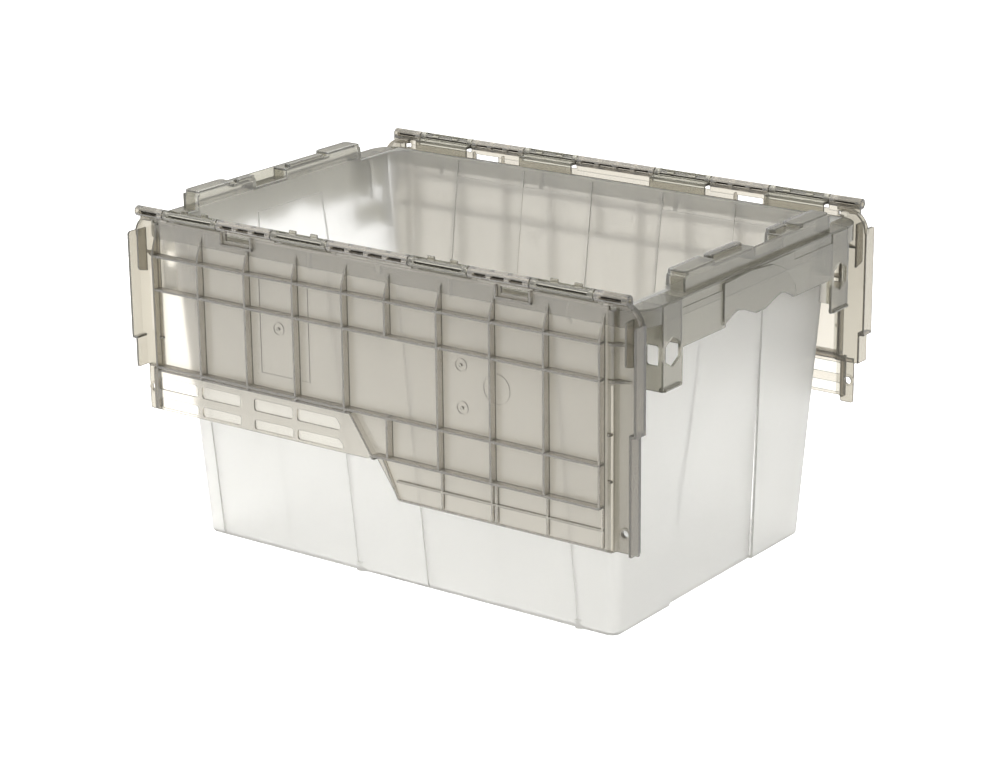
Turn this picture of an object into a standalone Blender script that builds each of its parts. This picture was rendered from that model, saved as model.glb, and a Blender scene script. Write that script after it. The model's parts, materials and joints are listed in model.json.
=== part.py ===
"""Attached lid tote: a nesting plastic tote whose two lids stay hinged to its long rims.

Frame: X along the length, Y across the width, +Z up, origin at the centre of the underside.
Five pieces: the tote body, two identical lids turned half round from each other, and two
steel hinge rods. The lids are modelled hanging open beside the long walls.
"""
import math

import bmesh
import bpy
from mathutils import Matrix, Vector

MM = 0.001

# Driving dimensions of the whole tote
LENGTH = 554 * MM               # over the end flanges of the lids
HINGE_Y = 191 * MM              # hinge axis from the centre line
HINGE_Z = 313 * MM              # hinge axis above the ground
WALL = 2.5 * MM                 # moulded wall thickness

# Tub: the tapered bin below the rim
BASE_X, BASE_Y = 230 * MM, 155.5 * MM       # half sizes at the ground
MOUTH_X, MOUTH_Y = 252 * MM, 175 * MM       # half sizes under the rim
CORNER_R = 30 * MM
RIM_Z = 302 * MM                # top of the flat rim flange

# Rim: flange, skirt and handle panels
FLANGE_X, FLANGE_Y = 275 * MM, 180.5 * MM
FLANGE_R = 24 * MM
SKIRT_Z = 286 * MM              # bottom of the shallow skirt
HANDLE_Z = 259 * MM             # bottom of the deep skirt at each end
HANDLE_Y = 124.5 * MM           # half length of the deep skirt
GRIP_Y = 58 * MM                # half length of the finger grip
GRIP_WAVE = 66 * MM             # length of one finger arch
GRIP_RISE = 8 * MM              # height of the finger arches
GRIP_BULGE = 2 * MM             # how far the grip panel stands out
LEG_Y = (123.5 * MM, 153.5 * MM)            # bracket legs at both ends of the deep skirt
LEG_Z = 227 * MM
LEG_WINDOW_Z = 259 * MM
LEG_WINDOW_R = 14 * MM

# Dam and lugs on the short rims, which locate the closed lids
DAM_X = (248 * MM, 269 * MM)    # the inner side is trimmed flush with the tub wall
DAM_Z = 316 * MM
DAM_Y = (-111.5 * MM, 128.5 * MM)           # this and the next ones are at the +X end
LUGS_Y = ((-110 * MM, -62 * MM), (76 * MM, 127 * MM))
LUG_Z = 319.6 * MM
STRIP_X = 259 * MM              # outer side of the narrow strips between the lugs
STRIPS_Y = ((-54 * MM, -4 * MM), (48 * MM, 70 * MM))
NOTCH_Y = (2 * MM, 46.5 * MM)   # lowered stretch that the other lid's shelf lies in
NOTCH_Z = 307 * MM

# Hinge knuckles, from the middle towards each end
ROD_R = 1.5 * MM
ROD_HALF = 264 * MM
BORE_R = 1.9 * MM
BARREL_R = 5 * MM
BARREL_SIDES = 16
LID_KNUCKLES = ((-44 * MM, 44 * MM), (107.5 * MM, 170 * MM), (234.5 * MM, 267 * MM))
BODY_KNUCKLES = ((45 * MM, 106.5 * MM), (171 * MM, 233.5 * MM))

# Nesting gussets under the long rims
GUSSETS_X = (77 * MM, 195 * MM)
GUSSET_WIDE = 5 * MM
GUSSET_Z = 271 * MM

# Lid, measured from the hinge axis: V runs down the hanging lid, N out from the wall
PLATE_N = (-5 * MM, -2.5 * MM)
PLATE_V = 7 * MM
FLAP_N = (-4.6 * MM, -2 * MM)   # flaps that join the knuckles to the plate
LONG_V = 220.5 * MM             # free edge of the long half
SHORT_V = 185.5 * MM            # free edge of the short half
STEP_V = 149 * MM               # where the short half steps down to its shelf
SHELF_N = (1.5 * MM, 4 * MM)
SHELF_X = 253.5 * MM            # the shelf ends just beyond the other lid's plate
TAB_X = 265 * MM                # outer side of the tab beside the shelf
TAB_V = 188.5 * MM
SLANT_TOP = (-25 * MM, 147 * MM)            # two points, X and V, on the slanted edge between
SLANT_END = (24.5 * MM, 220.5 * MM)         # the long and the short half
PLATE_X = 250 * MM
END_N = (-9.5 * MM, -7 * MM)    # raised end zones, over the dam and lugs
END_X = 276 * MM
END_V = (3 * MM, 148 * MM)
LID_CORNER_R = 22 * MM
FLANGE_TOP_V = 20 * MM
FLANGE_JOGS_V = (121 * MM, 114 * MM)         # at the short end, and at the long one
FLANGE_END_V = 218 * MM
FLANGE_SHORT_V = 148 * MM
FLANGE_N = (-9.5 * MM, 5.5 * MM)
FLANGE_JOG = 4.5 * MM
FLANGE_THICK = 2.5 * MM
SHORT_RIBS_X = (-247.5 * MM, -194 * MM, -139 * MM, -83.5 * MM, -28 * MM)
LONG_RIBS_X = (19 * MM, 74.5 * MM, 130 * MM, 185 * MM, 240.5 * MM)
RIB_THICK = 2 * MM
RIB_N = 5.5 * MM                # outer edge of the deep ribs
RIB_PEAK_V, RIB_FULL_V = 15 * MM, 34 * MM
CROSS_RIBS_V = (39 * MM, 70.6 * MM, 144 * MM)
TIP_RIB_V = 181.5 * MM          # last deep cross rib of the long half
TIP_FINE_V = 202 * MM           # shallow cross rib near the free edge
TIP_N = 0.5 * MM                # outer edge of the shallow ribs
EYELET_X, EYELET_R = 259 * MM, 3.5 * MM
EYELET_LONG_V = 203 * MM
EYELET_SHORT_V = 167.5 * MM
SLOT_X, SLOT_V = (138 * MM, 166 * MM), (8 * MM, 14 * MM)


def remove_everything():
    for obj in list(bpy.data.objects):
        bpy.data.objects.remove(obj, do_unlink=True)


def make_collection(name):
    collection = bpy.data.collections.new(name)
    bpy.context.scene.collection.children.link(collection)
    return collection


def plastic(name, colour, roughness, metallic=0.0):
    material = bpy.data.materials.new(name)
    material.use_nodes = True
    shader = material.node_tree.nodes["Principled BSDF"]
    shader.inputs["Base Color"].default_value = (*colour, 1.0)
    shader.inputs["Roughness"].default_value = roughness
    shader.inputs["Metallic"].default_value = metallic
    material.diffuse_color = (*colour, 1.0)
    return material


def object_from(bm, name, collection):
    """Makes an object; its points sit on a one-micron grid, so that level faces stay level."""
    for vert in bm.verts:
        vert.co = [round(value, 6) for value in vert.co]
    bmesh.ops.recalc_face_normals(bm, faces=bm.faces)
    mesh = bpy.data.meshes.new(name)
    bm.to_mesh(mesh)
    bm.free()
    obj = bpy.data.objects.new(name, mesh)
    collection.objects.link(obj)
    return obj


class Shapes:
    """Makes construction solids in one hidden collection."""

    def __init__(self, name):
        self.collection = make_collection(name)

    def keep(self, bm):
        name = "%s_%02d" % (self.collection.name, len(self.collection.objects))
        obj = object_from(bm, name, self.collection)
        obj.hide_render = True
        obj.display_type = "WIRE"
        return obj

    def box(self, x, y, z):
        bm = bmesh.new()
        lows, highs = [min(pair) for pair in (x, y, z)], [max(pair) for pair in (x, y, z)]
        size = [high - low for low, high in zip(lows, highs)]
        middle = [(high + low) / 2 for low, high in zip(lows, highs)]
        place = Matrix.Translation(middle) @ Matrix.Diagonal((*size, 1))
        bmesh.ops.create_cube(bm, size=1, matrix=place)
        return self.keep(bm)

    def prism(self, outline, direction):
        """A flat outline of 3-D points, pushed along direction."""
        bm = bmesh.new()
        face = bm.faces.new([bm.verts.new(point) for point in outline])
        pushed = bmesh.ops.extrude_face_region(bm, geom=[face])["geom"]
        moving = [item for item in pushed if isinstance(item, bmesh.types.BMVert)]
        bmesh.ops.translate(bm, verts=moving, vec=direction)
        return self.keep(bm)

    def cylinder_x(self, x, y, z, radius, sides=BARREL_SIDES):
        bm = bmesh.new()
        middle = Matrix.Translation(((x[0] + x[1]) / 2, y, z))
        bmesh.ops.create_cone(bm, cap_ends=True, segments=sides, radius1=radius, radius2=radius,
                              depth=abs(x[1] - x[0]), matrix=middle @ Matrix.Rotation(math.pi / 2, 4, "Y"))
        return self.keep(bm)

    def cylinder_y(self, x, y, z, radius, sides=16):
        bm = bmesh.new()
        middle = Matrix.Translation((x, (y[0] + y[1]) / 2, z))
        bmesh.ops.create_cone(bm, cap_ends=True, segments=sides, radius1=radius, radius2=radius,
                              depth=abs(y[1] - y[0]), matrix=middle @ Matrix.Rotation(math.pi / 2, 4, "X"))
        return self.keep(bm)


def rounded_block(low_x, low_y, low_z, high_x, high_y, high_z, low_r, high_r, steps=6):
    """A block with round upright corners, lofted from its low outline to its high one."""
    bm = bmesh.new()
    rings = []
    for half_x, half_y, z, radius in ((low_x, low_y, low_z, low_r), (high_x, high_y, high_z, high_r)):
        ring = []
        for quarter in range(4):
            turn = quarter * math.pi / 2
            middle_x = (half_x - radius) * (1 if quarter in (0, 3) else -1)
            middle_y = (half_y - radius) * (1 if quarter in (0, 1) else -1)
            for step in range(steps + 1):
                angle = turn + step / steps * math.pi / 2
                ring.append(bm.verts.new((middle_x + radius * math.cos(angle),
                                          middle_y + radius * math.sin(angle), z)))
        rings.append(ring)
    low_edges = [bm.edges.new((a, b)) for a, b in zip(rings[0], rings[0][1:] + rings[0][:1])]
    high_edges = [bm.edges.new((a, b)) for a, b in zip(rings[1], rings[1][1:] + rings[1][:1])]
    bmesh.ops.bridge_loops(bm, edges=low_edges + high_edges)
    bmesh.ops.contextual_create(bm, geom=low_edges)
    bmesh.ops.contextual_create(bm, geom=high_edges)
    return bm


def boolean(obj, operation, shapes):
    modifier = obj.modifiers.new(operation.title(), "BOOLEAN")
    modifier.operation = operation
    modifier.operand_type = "COLLECTION"
    modifier.collection = shapes.collection
    modifier.solver = "EXACT"
    weld = obj.modifiers.new("Weld", "WELD")
    weld.merge_threshold = 0.01 * MM


def tub_outer(z):
    """Half sizes of the tub's outer face at a height."""
    share = z / RIM_Z
    return BASE_X + (MOUTH_X - BASE_X) * share, BASE_Y + (MOUTH_Y - BASE_Y) * share


def grip_outline(x):
    """Outline of one finger grip panel: flat on top, with two finger arches below."""
    count = 24
    points = [Vector((x, GRIP_Y, RIM_Z - 3 * MM)), Vector((x, -GRIP_Y, RIM_Z - 3 * MM))]
    for step in range(count + 1):
        y = -GRIP_Y + 2 * GRIP_Y * step / count
        rise = GRIP_RISE * math.sin(math.pi * y / GRIP_WAVE) ** 2
        points.append(Vector((x, y, HANDLE_Z + rise)))
    return points


def add_rim(adds):
    """Flange, shallow skirt all round, deep skirts with finger grips, and bracket legs."""
    adds.keep(rounded_block(FLANGE_X, FLANGE_Y, RIM_Z - WALL, FLANGE_X, FLANGE_Y, RIM_Z,
                            FLANGE_R, FLANGE_R))
    adds.keep(rounded_block(FLANGE_X, FLANGE_Y, SKIRT_Z, FLANGE_X, FLANGE_Y, RIM_Z - WALL / 2,
                            FLANGE_R, FLANGE_R))
    for end in (-1, 1):
        skin = (end * (FLANGE_X - WALL), end * FLANGE_X)
        for side in (-1, 1):
            adds.box(skin, (side * (GRIP_Y - 1 * MM), side * HANDLE_Y), (HANDLE_Z, RIM_Z - WALL / 2))
            adds.box(skin, (side * (LEG_Y[0] - 1 * MM), side * LEG_Y[1]), (LEG_Z, RIM_Z - WALL / 2))
            web = (side * (LEG_Y[1] - WALL), side * LEG_Y[1])
            adds.box((end * (tub_outer(LEG_Z)[0] - 6 * MM), skin[1]), web, (LEG_Z, RIM_Z - WALL / 2))
        adds.prism(grip_outline(end * (FLANGE_X - WALL)), Vector((end * (WALL + GRIP_BULGE), 0, 0)))


def add_dams(adds):
    """The hollow dam on each short rim, with its lugs, strips and lowered notch."""
    for end in (-1, 1):
        inner, outer = end * DAM_X[0], end * DAM_X[1]
        whole = [end * y for y in DAM_Y]
        low = RIM_Z - 1 * MM
        adds.box((inner, outer), whole, (low, NOTCH_Z))
        adds.box((end * (DAM_X[1] - WALL), outer), whole, (low, DAM_Z))
        for start, stop in ((DAM_Y[0], NOTCH_Y[0]), (NOTCH_Y[1], DAM_Y[1])):
            adds.box((inner, outer), (end * start, end * stop), (low, DAM_Z))
        for start, stop in LUGS_Y:
            adds.box((inner, outer), (end * start, end * stop), (low, LUG_Z))
        for start, stop in STRIPS_Y:
            adds.box((inner, end * STRIP_X), (end * start, end * stop), (low, LUG_Z))


def cut_dams(cuts):
    """Hollows inside the dams, open below between the tub and the skirt."""
    for end in (-1, 1):
        hollow = (end * (MOUTH_X + 0.2 * MM), end * (DAM_X[1] - WALL))
        low = RIM_Z - 2 * WALL
        margin = WALL
        whole = (end * (DAM_Y[0] + margin), end * (DAM_Y[1] - margin))
        cuts.box(hollow, whole, (low, NOTCH_Z - WALL))
        for start, stop in ((DAM_Y[0], NOTCH_Y[0]), (NOTCH_Y[1], DAM_Y[1])):
            cuts.box(hollow, (end * (start + margin), end * (stop - margin)), (low, DAM_Z - WALL))
        for start, stop in LUGS_Y:
            cuts.box(hollow, (end * (start + margin), end * (stop - margin)), (low, LUG_Z - WALL))


def cut_rim_hollow(cuts):
    """The space between the tub and the skirt: one block at each side of the tub."""
    reach_x, reach_y = FLANGE_X - WALL, FLANGE_Y - WALL
    top = RIM_Z - WALL
    low = SKIRT_Z - 5 * MM
    outer = rounded_block(reach_x, reach_y, low, reach_x, reach_y, top, FLANGE_R - WALL, FLANGE_R - WALL)
    ring = cuts.keep(outer)
    inset = 0.3 * MM            # the cut bites slightly into the tub wall
    low_x, low_y = (size - inset for size in tub_outer(low - 1 * MM))
    high_x, high_y = (size - inset for size in tub_outer(top + 1 * MM))
    core = object_from(rounded_block(low_x, low_y, low - 1 * MM, high_x, high_y, top + 1 * MM,
                                     CORNER_R, CORNER_R), "tub_core", CORES.collection)
    core.hide_render = True
    core.display_type = "WIRE"
    hole = ring.modifiers.new("Core", "BOOLEAN")
    hole.operation = "DIFFERENCE"
    hole.object = core
    hole.solver = "EXACT"


def add_hinge_side(adds, cuts, side):
    """Upstand, knuckle arms, bored barrels and nesting gussets along one long rim."""
    inner = FLANGE_Y - WALL
    foot = RIM_Z - 1 * MM
    reach = BODY_KNUCKLES[-1][1] + 8 * MM
    adds.box((-reach, reach), (side * inner, side * FLANGE_Y), (foot, RIM_Z + 4 * MM))
    for end in (-1, 1):
        for start, stop in BODY_KNUCKLES:
            x = (end * start, end * stop)
            adds.box(x, (side * inner, side * FLANGE_Y), (foot, HINGE_Z - 0.5 * MM))
            adds.box(x, (side * inner, side * HINGE_Y), (HINGE_Z - 3.5 * MM, HINGE_Z - 0.5 * MM))
            adds.cylinder_x(x, side * HINGE_Y, HINGE_Z, BARREL_R)
        for x in GUSSETS_X:
            wide = (end * (x - GUSSET_WIDE / 2), end * (x + GUSSET_WIDE / 2))
            wall_low = tub_outer(GUSSET_Z)[1] - 1 * MM
            outline = [Vector((wide[0], side * wall_low, GUSSET_Z)),
                       Vector((wide[0], side * (FLANGE_Y - WALL / 2), RIM_Z - 14 * MM)),
                       Vector((wide[0], side * (FLANGE_Y - WALL / 2), RIM_Z - WALL / 2)),
                       Vector((wide[0], side * wall_low, RIM_Z - WALL / 2))]
            adds.prism(outline, Vector((wide[1] - wide[0], 0, 0)))
    cuts.cylinder_x((-ROD_HALF, ROD_HALF), side * HINGE_Y, HINGE_Z, BORE_R, sides=12)


def make_body(parts, material):
    adds, cuts = Shapes("body_add"), Shapes("body_cut")
    add_rim(adds)
    add_dams(adds)
    for side in (-1, 1):
        add_hinge_side(adds, cuts, side)
    inner_low = [size - WALL for size in tub_outer(WALL)]
    inner_high = [size - WALL for size in tub_outer(RIM_Z + 30 * MM)]
    cuts.keep(rounded_block(*inner_low, WALL, *inner_high, RIM_Z + 30 * MM,
                            CORNER_R - WALL, CORNER_R - WALL))
    cut_dams(cuts)
    cut_rim_hollow(cuts)
    for end in (-1, 1):
        for side in (-1, 1):
            cut_leg_window(cuts, end, side)
    body = object_from(rounded_block(BASE_X, BASE_Y, 0, MOUTH_X, MOUTH_Y, RIM_Z, CORNER_R, CORNER_R),
                       "tote_body", parts)
    boolean(body, "UNION", adds)
    boolean(body, "DIFFERENCE", cuts)
    body.data.materials.append(material)


def cut_leg_window(cuts, end, side):
    """A six-sided window in the outer plate of one bracket leg, and a square one in its web."""
    middle_y = side * (LEG_Y[0] + LEG_Y[1]) / 2
    bm = bmesh.new()
    place = Matrix.Translation((end * FLANGE_X, middle_y, LEG_WINDOW_Z)) @ Matrix.Rotation(math.pi / 2, 4, "Y")
    bmesh.ops.create_cone(bm, cap_ends=True, segments=6, radius1=LEG_WINDOW_R, radius2=LEG_WINDOW_R,
                          depth=4 * WALL, matrix=place)
    cuts.keep(bm)
    half = LEG_WINDOW_R - WALL
    cuts.box((end * (MOUTH_X + 2 * WALL), end * (FLANGE_X - 2 * WALL)),
             (side * (LEG_Y[1] - 2 * WALL), side * (LEG_Y[1] + WALL)), (LEG_WINDOW_Z - half, LEG_WINDOW_Z + half))


# Lid, in its own frame: the hinge axis is X, the lid hangs down -Z, and -Y faces outward

def lid_point(x, n, v):
    return Vector((x, -n, -v))


def lid_box(shapes, x, n, v):
    return shapes.box(x, (-n[0], -n[1]), (-v[0], -v[1]))


def lid_sheet(shapes, outline, n):
    """A flat piece of the lid: an outline of (x, v) points between two N levels."""
    return shapes.prism([lid_point(x, n[0], v) for x, v in outline], Vector((0, n[0] - n[1], 0)))


def diagonal_x(v):
    """X of the slanted edge between the long and the short half, at one V."""
    share = (v - SLANT_TOP[1]) / (SLANT_END[1] - SLANT_TOP[1])
    return SLANT_TOP[0] + (SLANT_END[0] - SLANT_TOP[0]) * share


def round_corner(end, radius, steps=6):
    """Points of a hinge-side corner of the lid, from its end towards the hinge."""
    points = []
    for step in range(steps + 1):
        angle = step / steps * math.pi / 2
        points.append((end * (END_X - radius + radius * math.cos(angle)),
                       END_V[0] + radius - radius * math.sin(angle)))
    return points


def lid_sheets(adds):
    """Main plate, stepped shelf with the tab beside it, and the two raised end zones."""
    plate = [(-PLATE_X, PLATE_V), (PLATE_X, PLATE_V), (PLATE_X, LONG_V), (diagonal_x(LONG_V), LONG_V),
             (diagonal_x(STEP_V), STEP_V), (-PLATE_X, STEP_V)]
    base = lid_sheet(Shapes("lid_base"), plate, PLATE_N)
    top_v = STEP_V - WALL
    shelf = [(-SHELF_X, top_v), (diagonal_x(top_v), top_v), (diagonal_x(SHORT_V), SHORT_V),
             (-SHELF_X, SHORT_V)]
    lid_sheet(adds, shelf, SHELF_N)
    lid_box(adds, (-SHELF_X, diagonal_x(top_v) + 1 * MM), (PLATE_N[0], SHELF_N[1]), (top_v, STEP_V))
    slant = [(x + shift, v) for shift, ends in ((-1 * MM, (top_v, SHORT_V)), (WALL, (SHORT_V, top_v)))
             for x, v in [(diagonal_x(v), v) for v in ends]]
    lid_sheet(adds, slant, (PLATE_N[1] - 1 * MM, SHELF_N[1]))
    inner = PLATE_X - WALL
    for end in (-1, 1):
        edge = LONG_V if end > 0 else END_V[1]
        jog_x = end * (END_X - FLANGE_JOG)
        zone = [(end * inner, END_V[0])] + round_corner(end, LID_CORNER_R)[::-1]
        jog_v = FLANGE_JOGS_V[end > 0]
        zone += [(end * END_X, jog_v), (jog_x, jog_v), (jog_x, edge), (end * inner, edge)]
        lid_sheet(adds, zone, END_N)
        riser_end = LONG_V if end > 0 else STEP_V
        lid_box(adds, (end * inner, end * PLATE_X), (END_N[0], PLATE_N[1]), (PLATE_V, riser_end))
    wall_v = END_V[1] - WALL
    lid_box(adds, (-TAB_X, -inner), (END_N[0], PLATE_N[1]), (wall_v, END_V[1]))
    lid_box(adds, (-TAB_X, -inner), PLATE_N, (wall_v, STEP_V))
    lid_box(adds, (-TAB_X, WALL - SHELF_X), PLATE_N, (wall_v, TAB_V))
    lid_box(adds, (-SHELF_X, WALL - SHELF_X), (PLATE_N[0], SHELF_N[1]), (wall_v, SHORT_V))
    return base


def lid_end_flanges(adds):
    """The flange down each short end, which steps inward below its jog."""
    for end in (-1, 1):
        outer = LENGTH / 2
        last = FLANGE_END_V if end > 0 else FLANGE_SHORT_V
        jog_v = FLANGE_JOGS_V[end > 0]
        lid_box(adds, (end * (outer - FLANGE_THICK), end * outer), FLANGE_N, (FLANGE_TOP_V, jog_v))
        lid_box(adds, (end * (outer - FLANGE_THICK - FLANGE_JOG), end * outer), FLANGE_N,
                (jog_v - FLANGE_THICK, jog_v))
        lid_box(adds, (end * (outer - FLANGE_THICK - FLANGE_JOG), end * (outer - FLANGE_JOG)), FLANGE_N,
                (jog_v - FLANGE_THICK, last))


def lid_ribs(adds):
    """The grid of stiffening ribs on the underside."""
    root = PLATE_N[1] - 1 * MM
    half = RIB_THICK / 2
    for ribs_x, deep_end in ((SHORT_RIBS_X, STEP_V - WALL / 2), (LONG_RIBS_X, TIP_RIB_V)):
        for x in ribs_x:
            outline = [lid_point(x - half, root, RIB_PEAK_V),
                       lid_point(x - half, RIB_N, RIB_FULL_V),
                       lid_point(x - half, RIB_N, deep_end),
                       lid_point(x - half, root, deep_end)]
            adds.prism(outline, Vector((RIB_THICK, 0, 0)))
    for x in LONG_RIBS_X[1:]:
        lid_box(adds, (x - half, x + half), (root, TIP_N), (TIP_RIB_V - half, LONG_V - half))
    reach = LONG_RIBS_X[-1]
    for v in CROSS_RIBS_V:
        lid_box(adds, (SHORT_RIBS_X[0], reach), (root, RIB_N), (v - half, v + half))
    lid_box(adds, (2 * MM, reach), (root, RIB_N), (TIP_RIB_V - half, TIP_RIB_V + half))
    lid_box(adds, (30 * MM, reach), (root, TIP_N), (TIP_FINE_V - half, TIP_FINE_V + half))
    lid_box(adds, (diagonal_x(LONG_V) + 1 * MM, reach), (root, TIP_N), (LONG_V - RIB_THICK, LONG_V))


def lid_knuckles(adds, cuts):
    middle, *outer = LID_KNUCKLES
    for x in [middle] + [(end * start, end * stop) for end in (-1, 1) for start, stop in outer]:
        adds.cylinder_x(x, 0, 0, BARREL_R)
        lid_box(adds, x, FLAP_N, (0, PLATE_V + 1 * MM))
    for end in (-1, 1):
        lid_box(cuts, [end * x for x in SLOT_X], (-8 * MM, -1 * MM), SLOT_V)
    cuts.cylinder_x((-ROD_HALF - 5 * MM, ROD_HALF + 5 * MM), 0, 0, BORE_R, sides=12)


def make_lids(parts, material):
    adds, cuts = Shapes("lid_add"), Shapes("lid_cut")
    base = lid_sheets(adds)
    lid_end_flanges(adds)
    lid_ribs(adds)
    lid_knuckles(adds, cuts)
    cuts.cylinder_y(EYELET_X, (0, 12 * MM), -EYELET_LONG_V, EYELET_R)
    cuts.cylinder_y(-EYELET_X, (0, 8 * MM), -EYELET_SHORT_V, EYELET_R)
    boolean(base, "UNION", adds)
    boolean(base, "DIFFERENCE", cuts)
    depsgraph = bpy.context.evaluated_depsgraph_get()
    mesh = bpy.data.meshes.new_from_object(base.evaluated_get(depsgraph))
    mesh.name = "lid"
    mesh.materials.clear()
    mesh.materials.append(material)
    for name, side in (("front_lid", -1), ("rear_lid", 1)):
        lid = bpy.data.objects.new(name, mesh)
        lid.location = (0, side * HINGE_Y, HINGE_Z)
        lid.rotation_euler.z = 0 if side < 0 else math.pi
        parts.objects.link(lid)


def make_rods(parts, material):
    for name, side in (("front_hinge_rod", -1), ("rear_hinge_rod", 1)):
        bm = bmesh.new()
        bmesh.ops.create_cone(bm, cap_ends=True, segments=12, radius1=ROD_R, radius2=ROD_R,
                              depth=2 * (ROD_HALF - 1 * MM), matrix=Matrix.Rotation(math.pi / 2, 4, "Y"))
        rod = object_from(bm, name, parts)
        rod.location = (0, side * HINGE_Y, HINGE_Z)
        rod.data.materials.append(material)


remove_everything()
PARTS = make_collection("attached_lid_tote")
CORES = Shapes("cores")
FROSTED = plastic("frosted_polypropylene", (0.80, 0.79, 0.75), 0.45)
LID_PLASTIC = plastic("frosted_lid_polypropylene", (0.72, 0.71, 0.67), 0.4)
STEEL = plastic("hinge_rod_steel", (0.18, 0.18, 0.18), 0.35, metallic=1.0)
make_body(PARTS, FROSTED)
make_lids(PARTS, LID_PLASTIC)
make_rods(PARTS, STEEL)
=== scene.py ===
"""Attached lid tote: the moulded look of its body, lids and hinge rods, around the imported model.

Every shape is drawn in millimetres and scaled to metres when it becomes an object. The lids are
drawn in their own frame: X along the hinge, N out from the tote's wall, V down the hanging lid.
The tote and its pair of lids are the same after a half turn about Z.
"""
import json
import math

import bmesh
import bpy
from mathutils import Matrix, Vector

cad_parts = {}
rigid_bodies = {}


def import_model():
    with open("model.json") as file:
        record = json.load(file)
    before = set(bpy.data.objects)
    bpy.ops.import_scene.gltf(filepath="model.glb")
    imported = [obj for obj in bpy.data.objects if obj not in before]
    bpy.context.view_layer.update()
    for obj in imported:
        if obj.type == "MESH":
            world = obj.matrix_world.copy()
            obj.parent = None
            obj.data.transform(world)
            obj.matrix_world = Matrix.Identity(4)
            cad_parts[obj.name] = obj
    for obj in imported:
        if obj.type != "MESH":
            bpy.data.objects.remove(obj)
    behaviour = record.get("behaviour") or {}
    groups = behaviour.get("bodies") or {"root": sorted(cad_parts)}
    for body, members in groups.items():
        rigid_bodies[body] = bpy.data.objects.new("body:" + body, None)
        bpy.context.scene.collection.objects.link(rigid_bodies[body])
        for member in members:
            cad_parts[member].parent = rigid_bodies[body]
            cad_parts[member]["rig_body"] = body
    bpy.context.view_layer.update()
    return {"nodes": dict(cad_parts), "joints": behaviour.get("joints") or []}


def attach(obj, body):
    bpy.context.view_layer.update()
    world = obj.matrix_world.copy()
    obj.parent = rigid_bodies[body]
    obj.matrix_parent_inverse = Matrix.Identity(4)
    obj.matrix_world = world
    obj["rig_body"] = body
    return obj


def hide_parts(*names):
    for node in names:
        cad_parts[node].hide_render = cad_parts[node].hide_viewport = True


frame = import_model()

MM = 0.001
SOLVER = "MANIFOLD"             # for joining and cutting
BEVEL_ABOVE, SMOOTH_BELOW = 0.6, 0.87           # angles between faces, in radians
WALL = 2.5                      # thickness of the moulded walls
HINGE_Y, HINGE_Z = (abs(place) / MM for place in frame["joints"][0]["pos_m"][1:])
ROD, BORE, BARREL = 1.5, 1.9, 5                 # radii of the rod, its hole and the barrels
ROD_HALF = 263                  # half length of the rod

# Lid: the plate and its shelf, in X, N and V
PLATE_X, PLATE_V = 250, 7
PLATE_N = (-5, -2.5)
LONG_V, SHORT_V = 220.5, 185.5                  # free edges of the long half and the short half
STEP_V = 149                    # where the short half steps down to its shelf
SLANT = ((-25, 147), (24.5, 220.5))             # two points, X and V, on the edge between the halves
SHELF_X = 253.5
SHELF_N = (1.5, 4)
TAB_X = 265                     # outer side of the tab beside the shelf
TAB_V = (145.5, 188.5)
POCKETS_X = ((-248, -200), (-195, -149), (-133, -88))
SLANTED_POCKET_X = (-83, -34)
POCKETS_V = ((154, 165.5), (173.5, 183))
POCKET_FLOOR = 2.1              # N

# Lid: ribs
RIB = 1.1                       # half thickness
RIB_OUT = 5.5                   # N of their outer edges
FINE_OUT = 0.5                  # N of the outer edges of the shallow ribs
SHORT_RIBS = (-247.5, -194, -139, -83.5, -28)
LONG_RIBS = (19, 74.5, 130, 185, 240.5)
SPLIT_RIB, DOUBLE_RIB = LONG_RIBS[0], LONG_RIBS[2]
CROSS_RIBS = (39, 70.6, 144)
TIP_RIB = 181.5                 # last deep cross rib of the long half
FINE_V = (181, 217.5)           # from here to here the shallow ribs run down
PEAK_V = 15                     # where the deep ribs start

# Lid: ends
END_X, END_V = 276, 3           # outer side and start of the raised end zones
END_N = (-9.5, -7)
END_CORNER = 22
SHORT_END_V = 148               # where the end zone over the short half ends
FLANGE_X, FLANGE_V = 277, 20
JOG = 4.5                       # how far the end flange steps inward
LEAF = ((243, -3), (247, 1.5), (252, 2.2), (258, -1.5), (265, -6.3), (267, -8), (258, -8.2), (250, -8))
STUB = ((243, -3), (246, 1.5), (248.4, 1.5), (249.2, -1), (249.2, -6), (247, -3))
FINS_V, LAST_FIN_V = (CROSS_RIBS[0], CROSS_RIBS[1], 117), 158
LAST_FIN = ((243, -3), (246, 0), (248.4, 0.4), (249.2, -2), (249.2, -6), (247, -3))

# Lid: marks and knuckles
EJECTORS = ((-106, 86), (95, 84), (96, 122))
GATE = (132, 99)
LABEL_X, LABEL_V = (-127.5, -72), (37, 130)
EYELET, EYELET_RIM = 3.5, 5.6                   # radii
LONG_EYELET, SHORT_EYELET = (259, 203), (-259, 167.5)
MIDDLE_KNUCKLE = (-44, 44)
LID_KNUCKLES = ((107.5, 170), (234.5, 267))
SLIT_PITCH = 24                 # about one slit in a barrel per this length
WINDOW_X, WINDOW_V = (137, 165), (8, 14)        # slot windows in the flaps
BODY_KNUCKLES = ((45, 106.5), (171, 233.5))

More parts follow.
